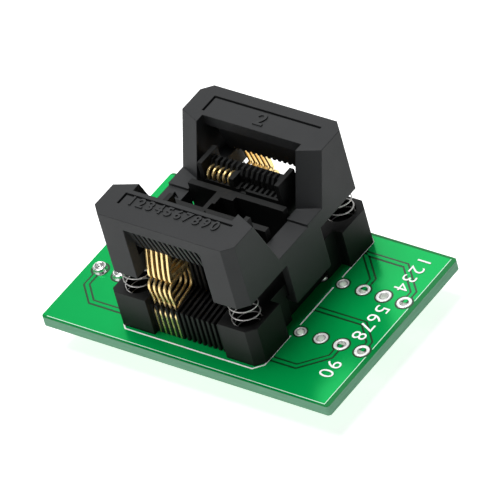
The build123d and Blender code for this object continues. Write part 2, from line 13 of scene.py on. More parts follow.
import bmesh
import bpy
import numpy as np
from mathutils import Matrix, Vector

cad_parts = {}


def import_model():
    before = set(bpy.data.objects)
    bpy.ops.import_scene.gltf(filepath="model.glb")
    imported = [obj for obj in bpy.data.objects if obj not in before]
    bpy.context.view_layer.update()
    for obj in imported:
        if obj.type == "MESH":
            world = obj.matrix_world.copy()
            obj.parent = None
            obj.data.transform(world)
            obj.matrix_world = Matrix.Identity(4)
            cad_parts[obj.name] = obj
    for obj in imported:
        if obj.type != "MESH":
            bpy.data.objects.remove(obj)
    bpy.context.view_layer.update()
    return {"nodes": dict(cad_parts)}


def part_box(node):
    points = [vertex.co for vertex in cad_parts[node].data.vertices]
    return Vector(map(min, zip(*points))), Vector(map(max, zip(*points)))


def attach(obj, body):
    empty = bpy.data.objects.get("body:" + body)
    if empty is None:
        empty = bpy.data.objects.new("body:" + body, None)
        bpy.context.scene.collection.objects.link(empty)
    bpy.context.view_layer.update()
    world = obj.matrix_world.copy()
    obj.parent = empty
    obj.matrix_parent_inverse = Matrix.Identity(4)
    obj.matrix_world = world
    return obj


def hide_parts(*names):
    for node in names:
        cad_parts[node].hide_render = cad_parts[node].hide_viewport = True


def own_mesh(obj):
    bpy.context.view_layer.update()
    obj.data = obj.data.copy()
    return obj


MM = 0.001
ROWS = (("front", -1), ("rear", 1))
SIDES = (-1, 1)
LOG = logging.getLogger("ic_adapter")

# Both in metres, as a mesh is.
WELD_DISTANCE = 1e-7
SHORTEST_EDGE = 1e-8

# Chamfer of a sheared edge as a share of the sheet's thickness, and points between two controls.
CHAMFER_SHARE = 0.18
SPAN_STEPS = 5

Colour = tuple[float, float, float]
Point = tuple[float, float]
Triple = tuple[float, float, float]
Face = tuple[int, ...]
Surface = tuple[np.ndarray, list[Face]]


def screen_colour(red: int, green: int, blue: int) -> Colour:
    """Linear colour of a screen colour: each channel's share of 255 is raised to the power 2.2.

    Args:
        red: Red from 0 to 255.
        green: Green from 0 to 255.
        blue: Blue from 0 to 255.

    Returns:
        The three linear channels.
    """
    return tuple((channel / 255) ** 2.2 for channel in (red, green, blue))


def toned(colour: Colour, gain: float) -> Colour:
    """The colour with each channel multiplied by the gain."""
    return tuple(channel * gain for channel in colour)


class Body(Enum):
    """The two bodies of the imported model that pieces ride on."""

    BASE = "base"
    COVER = "cover"


class Slot(Enum):
    """Names of the material slots of the adapter's kinds of part."""

    BOARD = "board_laminate"
    CONTACT = "contact_metal"
    PIN = "pin_metal"
    SOLDER = "solder"
    SPRING = "spring_steel"
    COVER = "cover_plastic"
    BASE = "base_plastic"


class NodeGraph:
    """A material's shader nodes, built one call at a time."""

    def __init__(self, name: str) -> None:
        """Start a material that holds only its shader and its output.

        Args:
            name: Name of the material.
        """
        self.material = bpy.data.materials.new(name)
        self.material.use_nodes = True
        self.tree = self.material.node_tree
        self.shader = next(node for node in self.tree.nodes if node.type == "BSDF_PRINCIPLED")

    def add(self, kind: str, inputs: dict | None = None, **settings: object) -> bpy.types.Node:
        """Add a node, set its properties, and fill or link its inputs.

        Args:
            kind: Node type without its ShaderNode prefix.
            inputs: Value or output socket for each input, by the input's name or number.
            **settings: Properties of the node.

        Returns:
            The new node.
        """
        node = self.tree.nodes.new("ShaderNode" + kind)
        for key, value in settings.items():
            setattr(node, key, value)
        for key, value in (inputs or {}).items():
            self.feed(node.inputs[key], value)
        return node

    def feed(self, socket: bpy.types.NodeSocket, value: object) -> None:
        """Link an output to a socket, or set the socket's own value.

        Args:
            socket: The input socket.
            value: An output socket, a number or a colour.
        """
        if isinstance(value, bpy.types.NodeSocket):
            self.tree.links.new(value, socket)
        elif isinstance(value, tuple) and len(value) == 3 and socket.type == "RGBA":
            socket.default_value = (*value, 1.0)
        else:
            socket.default_value = value

    def place(self) -> bpy.types.NodeSocket:
        """Object coordinates."""
        return self.add("TexCoord").outputs["Object"]

    def noise(
        self,
        size_mm: float,
        detail: float = 2.0,
        stretch: Triple = (1.0, 1.0, 1.0),
    ) -> bpy.types.NodeSocket:
        """Fractal noise over the object, with its coordinates stretched first.

        Args:
            size_mm: Size of the coarsest feature.
            detail: Number of finer octaves.
            stretch: Factors on the three coordinates.

        Returns:
            The noise value.
        """
        mapping = self.add("Mapping", {"Vector": self.place(), "Scale": stretch})
        inputs = {"Vector": mapping.outputs[0], "Scale": 1 / (size_mm * MM), "Detail": detail}
        return self.add("TexNoise", inputs).outputs[0]

    def scaled(self, value: object, factor: float, offset: float) -> bpy.types.NodeSocket:
        """The value times the factor, plus the offset."""
        return self.add("Math", {0: value, 1: factor, 2: offset}, operation="MULTIPLY_ADD").outputs[0]

    def math(
        self,
        operation: str,
        first: object,
        second: object = 0.0,
        clamp: bool = False,
    ) -> bpy.types.NodeSocket:
        """One arithmetic step.

        Args:
            operation: Blender's name of the operation.
            first: First operand.
            second: Second operand.
            clamp: Whether the result is kept between 0 and 1.

        Returns:
            The result.
        """
        node = self.add("Math", {0: first, 1: second}, operation=operation, use_clamp=clamp)
        return node.outputs[0]

    def mix(self, share: object, first: object, second: object) -> bpy.types.NodeSocket:
        """Blend two colours by a share.

        Args:
            share: 0 gives the first colour and 1 the second.
            first: First colour.
            second: Second colour.

        Returns:
            The blended colour.
        """
        node = self.add("Mix", data_type="RGBA")
        for index, value in ((0, share), (6, first), (7, second)):
            self.feed(node.inputs[index], value)
        return node.outputs[2]

    def bump(self, height: object, strength: float, depth_mm: float, edge_mm: float = 0.0) -> None:
        """Give the shader a bumped normal, on edges that may be rounded for the light.

        Args:
            height: Height from 0 to 1.
            strength: Strength of the bump.
            depth_mm: Height of a full step.
            edge_mm: Radius of the rounded edges, or 0 to leave them sharp.
        """
        node = self.add("Bump", {"Height": height, "Strength": strength, "Distance": depth_mm * MM})
        if edge_mm > 0:
            edge = self.add("Bevel", {"Radius": edge_mm * MM}, samples=6)
            self.feed(node.inputs["Normal"], edge.outputs[0])
        self.feed(self.shader.inputs["Normal"], node.outputs[0])


@dataclass(frozen=True)
class MouldedPlastic:
    """Matt thermoplastic with a fine spark-eroded grain and faint flow clouds."""

    name: str
    colour: Colour
    roughness: float = 0.52
    edge_mm: float = 0.14
    specular: float = 0.4
    grain_mm: float = 0.16
    grain_share: float = 0.7
    grain_depth: float = 0.02
    grain_strength: float = 0.35
    cloud_mm: float = 4.0
    cloud_share: float = 0.3
    even_share: float = 0.5
    light_gain: float = 1.5
    light_lift: float = 0.004
    dark_gain: float = 0.72
    gloss_range: float = 0.16

    def material(self) -> bpy.types.Material:
        """Grain and clouds are two scales of noise, which move the colour and the gloss a little.

        Returns:
            The material.
        """
        graph = NodeGraph(self.name)
        grain = graph.noise(self.grain_mm, 3.0)
        cloud = graph.noise(self.cloud_mm, 4.0)
        light = tuple(channel + self.light_lift for channel in toned(self.colour, self.light_gain))
        dark = toned(self.colour, self.dark_gain)
        speckle = graph.scaled(grain, self.grain_share, self.even_share)
        share = graph.math("ADD", speckle, graph.math("MULTIPLY", cloud, self.cloud_share))
        graph.feed(graph.shader.inputs["Base Color"], graph.mix(share, dark, light))
        gloss = graph.scaled(cloud, self.gloss_range, self.roughness - self.gloss_range / 2)
        graph.feed(graph.shader.inputs["Roughness"], gloss)
        graph.shader.inputs["Specular IOR Level"].default_value = self.specular
        graph.bump(grain, self.grain_strength, self.grain_depth, self.edge_mm)
        return graph.material


@dataclass(frozen=True)
class SolderMask:
    """Glossy green mask over copper, darker where there is no copper, on a pale glass laminate."""

    name: str = "solder_mask"
    over_copper: Colour = screen_colour(2, 166, 82)
    over_laminate: Colour = screen_colour(0, 118, 58)
    laminate: Colour = screen_colour(114, 168, 136)
    half_length: float = 18.1
    half_width: float = 11.7
    margin_x: float = 0.58
    margin_y: float = 0.3
    underside: float = 3.2
    top: float = 4.4
    skin: float = 0.05
    sheen: float = 0.38
    specular: float = 0.14
    skin_roughness: float = 0.2
    core_roughness: float = 0.7
    mottle_mm: float = 3.0
    mottle_gain: float = 1.12
    fibre_mm: float = 0.5
    fibre_stretch: Triple = (0.2, 0.2, 3.0)
    fibre_gain: float = 0.62
    weave_mm: float = 0.6
    weave_stretch: Triple = (1.0, 1.0, 0.2)
    weave_strength: float = 0.06
    weave_depth: float = 0.02

    def material(self) -> bpy.types.Material:
        """The side shows laminate between two skins; a margin runs along the front, rear and right edges.

        A point is in the margin where the larger of x - a and |y| - b is above 0, a and b being the
        copper's reach.

        Returns:
            The material.
        """
        graph = NodeGraph(self.name)
        axes = graph.add("SeparateXYZ", {0: graph.place()})
        pour_x, pour_y = self.half_length - self.margin_x, self.half_width - self.margin_y
        reach_x = graph.math("SUBTRACT", axes.outputs[0], pour_x * MM)
        reach_y = graph.math("SUBTRACT", graph.math("ABSOLUTE", axes.outputs[1]), pour_y * MM)
        outside = graph.math("GREATER_THAN", graph.math("MAXIMUM", reach_x, reach_y), 0.0)
        mottle = graph.noise(self.mottle_mm, 3.0)
        copper = graph.mix(mottle, self.over_copper, toned(self.over_copper, self.mottle_gain))
        mask = graph.mix(outside, copper, self.over_laminate)
        above = graph.math("GREATER_THAN", axes.outputs[2], (self.top - self.skin) * MM)
        below = graph.math("LESS_THAN", axes.outputs[2], (self.underside + self.skin) * MM)
        fibre = graph.noise(self.fibre_mm, 2.0, self.fibre_stretch)
        core = graph.mix(fibre, self.laminate, toned(self.laminate, self.fibre_gain))
        skin = graph.math("MAXIMUM", above, below)
        graph.feed(graph.shader.inputs["Base Color"], graph.mix(skin, core, mask))
        gloss = graph.scaled(skin, self.skin_roughness - self.core_roughness, self.core_roughness)
        graph.feed(graph.shader.inputs["Roughness"], gloss)
        lacquer = graph.math("SUBTRACT", skin, outside, clamp=True)
        graph.feed(graph.shader.inputs["Metallic"], graph.math("MULTIPLY", lacquer, self.sheen))
        weave = graph.noise(self.weave_mm, 1.0, self.weave_stretch)
        graph.bump(weave, self.weave_strength, self.weave_depth)
        graph.shader.inputs["Specular IOR Level"].default_value = self.specular
        return graph.material


@dataclass(frozen=True)
class Plating:
    """Metal surface with fine drawing marks and a slight change of tone."""

    name: str
    colour: Colour
    tarnish: Colour
    roughness: float
    metallic: float
    tone_mm: float = 1.2
    grain_mm: float = 0.12
    gloss_range: float = 0.06
    grain_strength: float = 0.03
    grain_depth: float = 0.01
    edge_mm: float = 0.03

    def material(self) -> bpy.types.Material:
        """Tone follows a coarse noise and gloss a fine one.

        Returns:
            The material.
        """
        graph = NodeGraph(self.name)
        tone = graph.noise(self.tone_mm, 3.0)
        grain = graph.noise(self.grain_mm)
        graph.feed(graph.shader.inputs["Base Color"], graph.mix(tone, self.colour, self.tarnish))
        gloss = graph.scaled(grain, self.gloss_range, self.roughness - self.gloss_range / 2)
        graph.feed(graph.shader.inputs["Roughness"], gloss)
        graph.shader.inputs["Metallic"].default_value = self.metallic
        graph.bump(grain, self.grain_strength, self.grain_depth, self.edge_mm)
        return graph.material


@dataclass(frozen=True)
class PrintedInk:
    """Flat ink, lacquer or paper with a slightly uneven film."""

    name: str
    colour: Colour
    roughness: float = 0.6
    glow: float = 0.0
    film_mm: float = 0.25
    film_gain: float = 0.92
    film_strength: float = 0.15
    film_depth: float = 0.01

    def material(self) -> bpy.types.Material:
        """The film's thickness is a noise that shades the colour and lifts the surface.

        Returns:
            The material.
        """
        graph = NodeGraph(self.name)
        film = graph.noise(self.film_mm)
        thin = toned(self.colour, self.film_gain)
        graph.feed(graph.shader.inputs["Base Color"], graph.mix(film, self.colour, thin))
        graph.shader.inputs["Roughness"].default_value = self.roughness
        graph.shader.inputs["Emission Color"].default_value = (*self.colour, 1.0)
        graph.shader.inputs["Emission Strength"].default_value = self.glow
        graph.bump(film, self.film_strength, self.film_depth)
        return graph.material


class Finishes:
    """Every finish of the adapter, made once."""

    def __init__(self) -> None:
        """Make the materials."""
        base = screen_colour(14, 15, 15)
        cover = screen_colour(29, 30, 31)
        figure = screen_colour(31, 32, 33)
        self.base = MouldedPlastic("base_plastic", base, 0.52, 0.07, 0.2).material()
        self.cover = MouldedPlastic("cover_plastic", cover, 0.56, 0.14, 0.3).material()
        self.figure = MouldedPlastic("figure_plastic", figure, 0.54, 0.0, 0.3).material()
        self.board = SolderMask().material()
        self.gold = Plating("gold_plate", (1.0, 0.82, 0.42), (0.95, 0.64, 0.24), 0.28, 0.9).material()
        self.tin = Plating("bright_solder", (1.0, 1.0, 0.98), (0.9, 0.9, 0.88), 0.3, 0.35).material()
        self.solder = Plating("solder_joint", (0.98, 0.98, 0.97), (0.86, 0.86, 0.85), 0.18, 0.9).material()
        self.steel = Plating("spring_wire", (0.72, 0.71, 0.69), (0.6, 0.59, 0.57), 0.38, 0.75).material()
        self.ink = PrintedInk("silk_print", (1.0, 1.0, 1.0)).material()
        self.gap = PrintedInk("mask_gap", screen_colour(0, 58, 26), 0.3).material()
        # Pale mint ink on the copper's edge: a painted highlight, standing for light catching the edge of
        # the pour.
        self.step = PrintedInk("copper_edge_painted_highlight", screen_colour(206, 246, 224), 0.3).material()


def grid_faces(
    rows: int,
    columns: int,
    closed_rows: bool = False,
    closed_columns: bool = False,
) -> list[Face]:
    """Quads of a grid whose vertex number is its row times the number of columns, plus its column.

    Args:
        rows: Number of rows.
        columns: Number of columns.
        closed_rows: Whether the last row joins the first.
        closed_columns: Whether the last column joins the first.

    Returns:
        The quads.
    """
    row = np.arange(rows if closed_rows else rows - 1)[:, None]
    column = np.arange(columns if closed_columns else columns - 1)[None, :]
    next_row = (row + 1) % rows
    next_column = (column + 1) % columns
    here, beyond = row * columns, next_row * columns
    corners = (here + column, here + next_column, beyond + next_column, beyond + column)
    return [tuple(face) for face in np.stack(corners, axis=-1).reshape(-1, 4).tolist()]


def end_caps(rows: int, columns: int) -> list[Face]:
    """One face on each end of a tube of rings, the first turned the other way round from the last."""
    last = (rows - 1) * columns
    return [tuple(range(columns)), tuple(range(last + columns - 1, last - 1, -1))]


def revolved(profile: Sequence[Point], sides: int = 40, ring: bool = False) -> Surface:
    """Surface of revolution: point (r, z) becomes (r cos a, r sin a, z) for each angle a.

    Args:
        profile: Radius and height of each point, from the lower end upwards.
        sides: Number of angles.
        ring: Whether the profile is a closed loop.

    Returns:
        Vertices and faces about the origin.
    """
    points = np.asarray(profile, float)
    angle = np.arange(sides) * 2 * math.pi / sides
    x = points[:, :1] * np.cos(angle)
    y = points[:, :1] * np.sin(angle)
    z = np.broadcast_to(points[:, 1:], x.shape)
    return np.stack((x, y, z), axis=-1).reshape(-1, 3), grid_faces(len(points), sides, ring, True)


def arc(centre: Point, radius: float, start: float, end: float, steps: int) -> list[Point]:
    """Points of a circular arc: the centre plus the radius at evenly spaced angles.

    Args:
        centre: Centre of the arc.
        radius: Radius.
        start: First angle in degrees.
        end: Last angle in degrees.
        steps: Number of steps.

    Returns:
        The points.
    """
    angle = np.radians(np.linspace(start, end, steps + 1))
    return list(zip(centre[0] + radius * np.cos(angle), centre[1] + radius * np.sin(angle)))


def offset_sides(
    points: np.ndarray,
    widths: np.ndarray,
    closed: bool = False,
) -> tuple[np.ndarray, np.ndarray]:
    """Both sides of a flat strip along a path.

    Each point moves sideways along the mean of its two segments' normals, by half the width divided by the
    cosine of half the turn.

    Args:
        points: Points of the strip's middle.
        widths: Width at each point.
        closed: Whether the last point joins the first.

    Returns:
        The left and the right side.
    """
    loop = np.vstack((points, points[:1])) if closed else points
    step = np.diff(loop, axis=0)
    step /= np.linalg.norm(step, axis=1)[:, None]
    normal = np.stack((-step[:, 1], step[:, 0]), axis=1)
    before = np.vstack((normal[-1:], normal[:-1])) if closed else np.vstack((normal[:1], normal))
    after = normal if closed else np.vstack((normal, normal[-1:]))
    mitre = (before + after) / (1 + np.sum(before * after, axis=1))[:, None]
    reach = mitre * widths[:, None] / 2
    return points + reach, points - reach


def ribbon(path: Sequence[Point], width: float, bottom: float, top: float) -> Surface:
    """Flat strip of rectangular section along a level path, with mitred corners.

    Args:
        path: Level points of the strip's middle.
        width: Width of the strip.
        bottom: Height of its underside.
        top: Height of its upper side.

    Returns:
        Vertices and faces.
    """
    points = np.asarray(path, float)
    left, right = offset_sides(points, np.full(len(points), width))
    low = np.full((len(points), 1), bottom)
    high = np.full((len(points), 1), top)
    rim = ((left, low), (right, low), (right, high), (left, high))
    vertices = np.stack([np.hstack(corner) for corner in rim], axis=1).reshape(-1, 3)
    return vertices, grid_faces(len(points), len(rim), False, True) + end_caps(len(points), len(rim))


def smooth_path(controls: Sequence[Triple], steps: int, closed: bool = False) -> np.ndarray:
    """Smooth curve through control points.

    Each span is the cubic that leaves and meets its ends along half the chord between their neighbours.

    Args:
        controls: Control points.
        steps: Points for each span.
        closed: Whether the last control joins the first.

    Returns:
        The points.
    """
    point = np.asarray(controls, float)
    if closed:
        ring = np.vstack((point[-1:], point, point[:2]))
    else:
        ring = np.vstack((2 * point[:1] - point[1:2], point, 2 * point[-1:] - point[-2:-1]))
    start, end = ring[1:-2, None], ring[2:-1, None]
    leave, meet = (end - ring[:-3, None]) / 2, (ring[3:, None] - start) / 2
    t = (np.arange(steps) / steps)[None, :, None]
    curve = start * (1 + 2 * t) * (1 - t) ** 2 + leave * t * (1 - t) ** 2
    curve = curve + end * t * t * (3 - 2 * t) + meet * t * t * (t - 1)
    curve = curve.reshape(-1, point.shape[1])
    return curve if closed else np.vstack((curve, point[-1:]))


def stamping(controls: Sequence[Triple], thickness: float, closed: bool = False) -> Surface:
    """Strip of sheet on edge: its path lies in the sheet's plane and a chamfer breaks its sheared edges.

    There are eight corners at each point, four on each face of the sheet, pulled in by the chamfer where
    the edges meet.

    Args:
        controls: Distance outwards, height and width at each control point.
        thickness: Thickness of the sheet, along X.
        closed: Whether the strip is a loop.

    Returns:
        Vertices (x, outwards, z) and faces.
    """
    path = smooth_path(controls, SPAN_STEPS, closed)
    points, widths = path[:, :2], path[:, 2]
    chamfer = thickness * CHAMFER_SHARE
    wide = offset_sides(points, widths, closed)
    narrow = offset_sides(points, widths - 2 * chamfer, closed)
    half = thickness / 2
    rim = [(wide[0], half - chamfer), (narrow[0], half), (narrow[1], half), (wide[1], half - chamfer)]
    rim += [(side, -x) for side, x in reversed(rim)]
    corners = [np.hstack((np.full((len(points), 1), x), side)) for side, x in rim]
    vertices = np.stack(corners, axis=1).reshape(-1, 3)
    faces = grid_faces(len(points), len(rim), closed, True)
    if not closed:
        faces += end_caps(len(points), len(rim))
    return vertices, faces


def moved(surface: Surface, x: float, y: float, z: float = 0.0) -> Surface:
    """The surface shifted by a vector."""
    return surface[0] + np.array((x, y, z)), surface[1]


def joined(surfaces: Sequence[Surface]) -> Surface:
    """One surface from several: vertices are stacked and face numbers shifted by what comes before.

    Args:
        surfaces: The surfaces.

    Returns:
        Vertices and faces of all of them.
    """
    faces, start = [], 0
    for vertices, part in surfaces:
        faces += [tuple(index + start for index in face) for face in part]
        start += len(vertices)
    return np.vstack([vertices for vertices, _ in surfaces]), faces


def link(thing: bpy.types.Object) -> None:
    """Put an object into the scene."""
    bpy.context.scene.collection.objects.link(thing)


def make_piece(
    name: str,
    surface: Surface,
    material: bpy.types.Material,
    body: Body,
    smooth_below: float = 32.0,
) -> bpy.types.Object:
    """Make an object from a surface in millimetres, close its seams and poles, and let it ride on a body.

    Args:
        name: Name of the piece.
        surface: Vertices and faces.
        material: Its finish.
        body: The body that it rides on.
        smooth_below: Edges that turn by less than this angle in degrees are shaded smooth.

    Returns:
        The object.
    """
    mesh = bpy.data.meshes.new(name)
    vertices, faces = surface
    mesh.from_pydata((vertices * MM).tolist(), [], faces)
    shape = bmesh.new()
    shape.from_mesh(mesh)
    bmesh.ops.remove_doubles(shape, verts=shape.verts, dist=WELD_DISTANCE)
    bmesh.ops.dissolve_degenerate(shape, dist=SHORTEST_EDGE, edges=shape.edges)
    bmesh.ops.recalc_face_normals(shape, faces=shape.faces)
    limit = math.radians(smooth_below)
    for face in shape.faces:
        face.smooth = True
    for edge in shape.edges:
        edge.smooth = len(edge.link_faces) == 2 and edge.calc_face_angle(0.0) < limit
    shape.to_mesh(mesh)
    shape.free()
    mesh.materials.append(material)
    piece = bpy.data.objects.new(name, mesh)
    link(piece)
    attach(piece, body.value)
    LOG.info("%s: %d faces", name, len(mesh.polygons))
    return piece


@dataclass(frozen=True)
class Figures:
    """Plain figures in a line face, with a flat top and upright sides."""

    size: float
    thickness: float
    weight: float = 0.0
    spacing: float = 1.0
    curve_steps: int = 5

    def surface(self, text: str, turn: float = 0.0) -> Surface:
        """Figures centred on the origin, with their foot at height 0.

        The text is made solid and turned about the vertical: x' = x cos a - y sin a and
        y' = x sin a + y cos a.

        Args:
            text: The figures.
            turn: Angle of the line of text to the X axis, in degrees.

        Returns:
            Vertices and faces.
        """
        curve = bpy.data.curves.new("figures", "FONT")
        curve.body = text
        curve.size = self.size
        curve.extrude = self.thickness / 2
        curve.offset = self.weight
        curve.space_character = self.spacing
        curve.align_x = "CENTER"
        curve.align_y = "CENTER"
        curve.resolution_u = self.curve_steps
        holder = bpy.data.objects.new("figures", curve)
        link(holder)
        settled = holder.evaluated_get(bpy.context.evaluated_depsgraph_get())
        solid = bpy.data.meshes.new_from_object(settled)
        flat = np.empty(len(solid.vertices) * 3)
        solid.vertices.foreach_get("co", flat)
        faces = [tuple(face.vertices) for face in solid.polygons]
        bpy.data.objects.remove(holder)
        bpy.data.curves.remove(curve)
        bpy.data.meshes.remove(solid)
        vertices = flat.reshape(-1, 3)
        angle = math.radians(turn)
        x = vertices[:, 0] * math.cos(angle) - vertices[:, 1] * math.sin(angle)
        y = vertices[:, 0] * math.sin(angle) + vertices[:, 1] * math.cos(angle)
        return np.stack((x, y, vertices[:, 2] + self.thickness / 2), axis=1), faces


@dataclass
class PinGrid:
    """The two rows of plated holes on a 2.54 mm grid, with five pins in each row."""

    pitch: float = 2.54
    row_spacing: float = 7.62
    row_length: int = 14
    fitted: int = 5
    domed: int = 3
    middle_x: float = 0.11
    middle_y: float = 0.34
    hole_radius: float = 0.38
    wall_radius: float = 0.46
    pad_radii: tuple[float, ...] = (0.83, 0.83, 0.76, 0.66, 0.57)
    pad_height: float = 0.09
    pad_gap: float = 0.17
    gap_height: float = 0.008
    tail_radius: float = 0.25
    tail_fillet: float = 0.1
    tip_height: float = 0.6
    collar_radius: float = 0.62
    collar_height: float = 0.7
    collar_edge: float = 0.08
    stem_radius: float = 0.4
    stem_edge: float = 0.06
    joint_radius: float = 0.86
    joint_hole: float = 0.5
    joint_skirt: tuple[Point, ...] = ((0.84, 0.05), (0.8, 0.12), (0.76, 0.22), (0.73, 0.34))
    lip_centre: Point = (0.59, 0.38)
    lip_radius: float = 0.14
    joint_bowl: tuple[Point, ...] = (
        (0.43, 0.26), (0.38, 0.14), (0.33, 0.09), (0.3, 0.1), (0.27, 0.18), (0.0, 0.2),
    )

    def place(self, index: int, side: int) -> Point:
        """Place on the grid, counted from the left end; side -1 is the front row and 1 the rear one."""
        x = self.middle_x + (index - (self.row_length - 1) / 2) * self.pitch
        return x, self.middle_y + side * self.row_spacing / 2

    def both(self, shape: Surface, index: int) -> list[Surface]:
        """The shape at one place of the front row and of the rear row."""
        return [moved(shape, *self.place(index, side)) for side in SIDES]

    def pad_radius(self, index: int) -> float:
        """Radius of a pad: the pads grow from the socket to the right end of the board."""
        return self.pad_radii[min(self.row_length - 1 - index, len(self.pad_radii) - 1)]

    def pads(self, underside: float, top: float, finishes: Finishes) -> None:
        """Tinned rings on both faces of the board, joined by the barrel of the hole.

        Args:
            underside: Height of the board's underside.
            top: Height of its upper side.
            finishes: The finishes.
        """
        pads, gaps = [], []
        for index in range(self.fitted, self.row_length):
            radius = self.pad_radius(index)
            pads += self.both(revolved(self.pad_profile(radius, underside, top), ring=True), index)
            gaps += self.both(self.gap_ring(radius - self.pad_gap, radius, top), index)
        for index in range(self.domed):
            gaps += self.both(self.gap_ring(self.joint_hole, self.joint_radius, top), index)
        make_piece("plated_holes", joined(pads), finishes.tin, Body.BASE)
        make_piece("pad_gaps", joined(gaps), finishes.gap, Body.BASE)

    def gap_ring(self, inner: float, pad: float, top: float) -> Surface:
        """Dark ring in the mask, from the inner radius to a gap's width outside the pad.

        Args:
            inner: Inner radius.
            pad: Radius of the pad.
            top: Height of the board's upper side.

        Returns:
            Vertices and faces about the origin.
        """
        outer, height = pad + self.pad_gap, top + self.gap_height
        return revolved([(inner, top), (outer, top), (outer, height), (inner, height)], ring=True)

    def pad_profile(self, radius: float, underside: float, top: float) -> list[Point]:
        """Triple of a pad pair and its barrel: a half-elliptic bead on each face, joined in the hole.

        Args:
            radius: Radius of the pads.
            underside: Height of the board's underside.
            top: Height of its upper side.

        Returns:
            The loop.
        """
        rise, wall = self.pad_height, self.wall_radius
        middle, half = (radius + wall) / 2, (radius - wall) / 2
        bead = [(middle + half * x, rise * y) for x, y in arc((0.0, 0.0), 1.0, 0, 180, 4)]
        lower = [(x, underside - y) for x, y in bead]
        upper = [(x, top + y) for x, y in reversed(bead)]
        bore = [(self.hole_radius, underside), (self.hole_radius, top)]
        return lower + bore + upper + [(wall, top - rise), (wall, underside + rise)]

    def pin_profile(self, underside: float, top: float) -> list[Point]:
        """Triple of a turned pin: a tapered tip, a thin tail, a chamfered collar and a stem in the hole.

        Args:
            underside: Height of the board's underside.
            top: Height of its upper side.

        Returns:
            The section, from the tip upwards.
        """
        radius, collar, edge = self.tail_radius, self.collar_radius, self.collar_edge
        foot = underside - self.collar_height
        tip = [(0.0, 0.0), (radius * 0.5, 0.0), (radius * 0.9, 0.35), (radius, self.tip_height)]
        tail = [(radius, foot - self.tail_fillet), (radius + self.tail_fillet, foot)]
        ring = [(collar - edge, foot), (collar, foot + edge)]
        ring += [(collar, underside - edge), (collar - edge, underside)]
        stem, bevel = self.stem_radius, self.stem_edge
        end = [(stem, underside), (stem, top - bevel), (stem - bevel, top), (0.0, top)]
        return tip + tail + ring + end

    def pins(self, underside: float, top: float, finishes: Finishes) -> None:
        """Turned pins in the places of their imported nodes.

        Args:
            underside: Height of the board's underside.
            top: Height of its upper side.
            finishes: The finishes.
        """
        shape = revolved(self.pin_profile(underside, top), 32)
        for row, side in ROWS:
            for index in range(self.fitted):
                name, placed = f"{row}_turned_pin_{index + 1}", moved(shape, *self.place(index, side))
                piece = make_piece(name, placed, finishes.gold, Body.BASE)
                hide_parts(f"{row}_pin_{index + 1}")

    def solder(self, top: float, finishes: Finishes) -> None:
        """Solder joints: a skirt rises in a hollow curve to a round lip, and the pin's end lies inside it.

        Args:
            top: Height of the board's upper side.
            finishes: The finishes.
        """
        lip = arc(self.lip_centre, self.lip_radius, 0, 180, 8)
        shape = revolved([(self.joint_radius, 0.0), *self.joint_skirt, *lip, *self.joint_bowl])
        for row, side in ROWS:
            for index in range(self.domed):
                name, placed = f"{row}_solder_dome_{index + 1}", moved(shape, *self.place(index, side), top)
                piece = make_piece(name, placed, finishes.solder, Body.BASE, 60)
                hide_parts(f"{row}_solder_joint_{index + 1}")


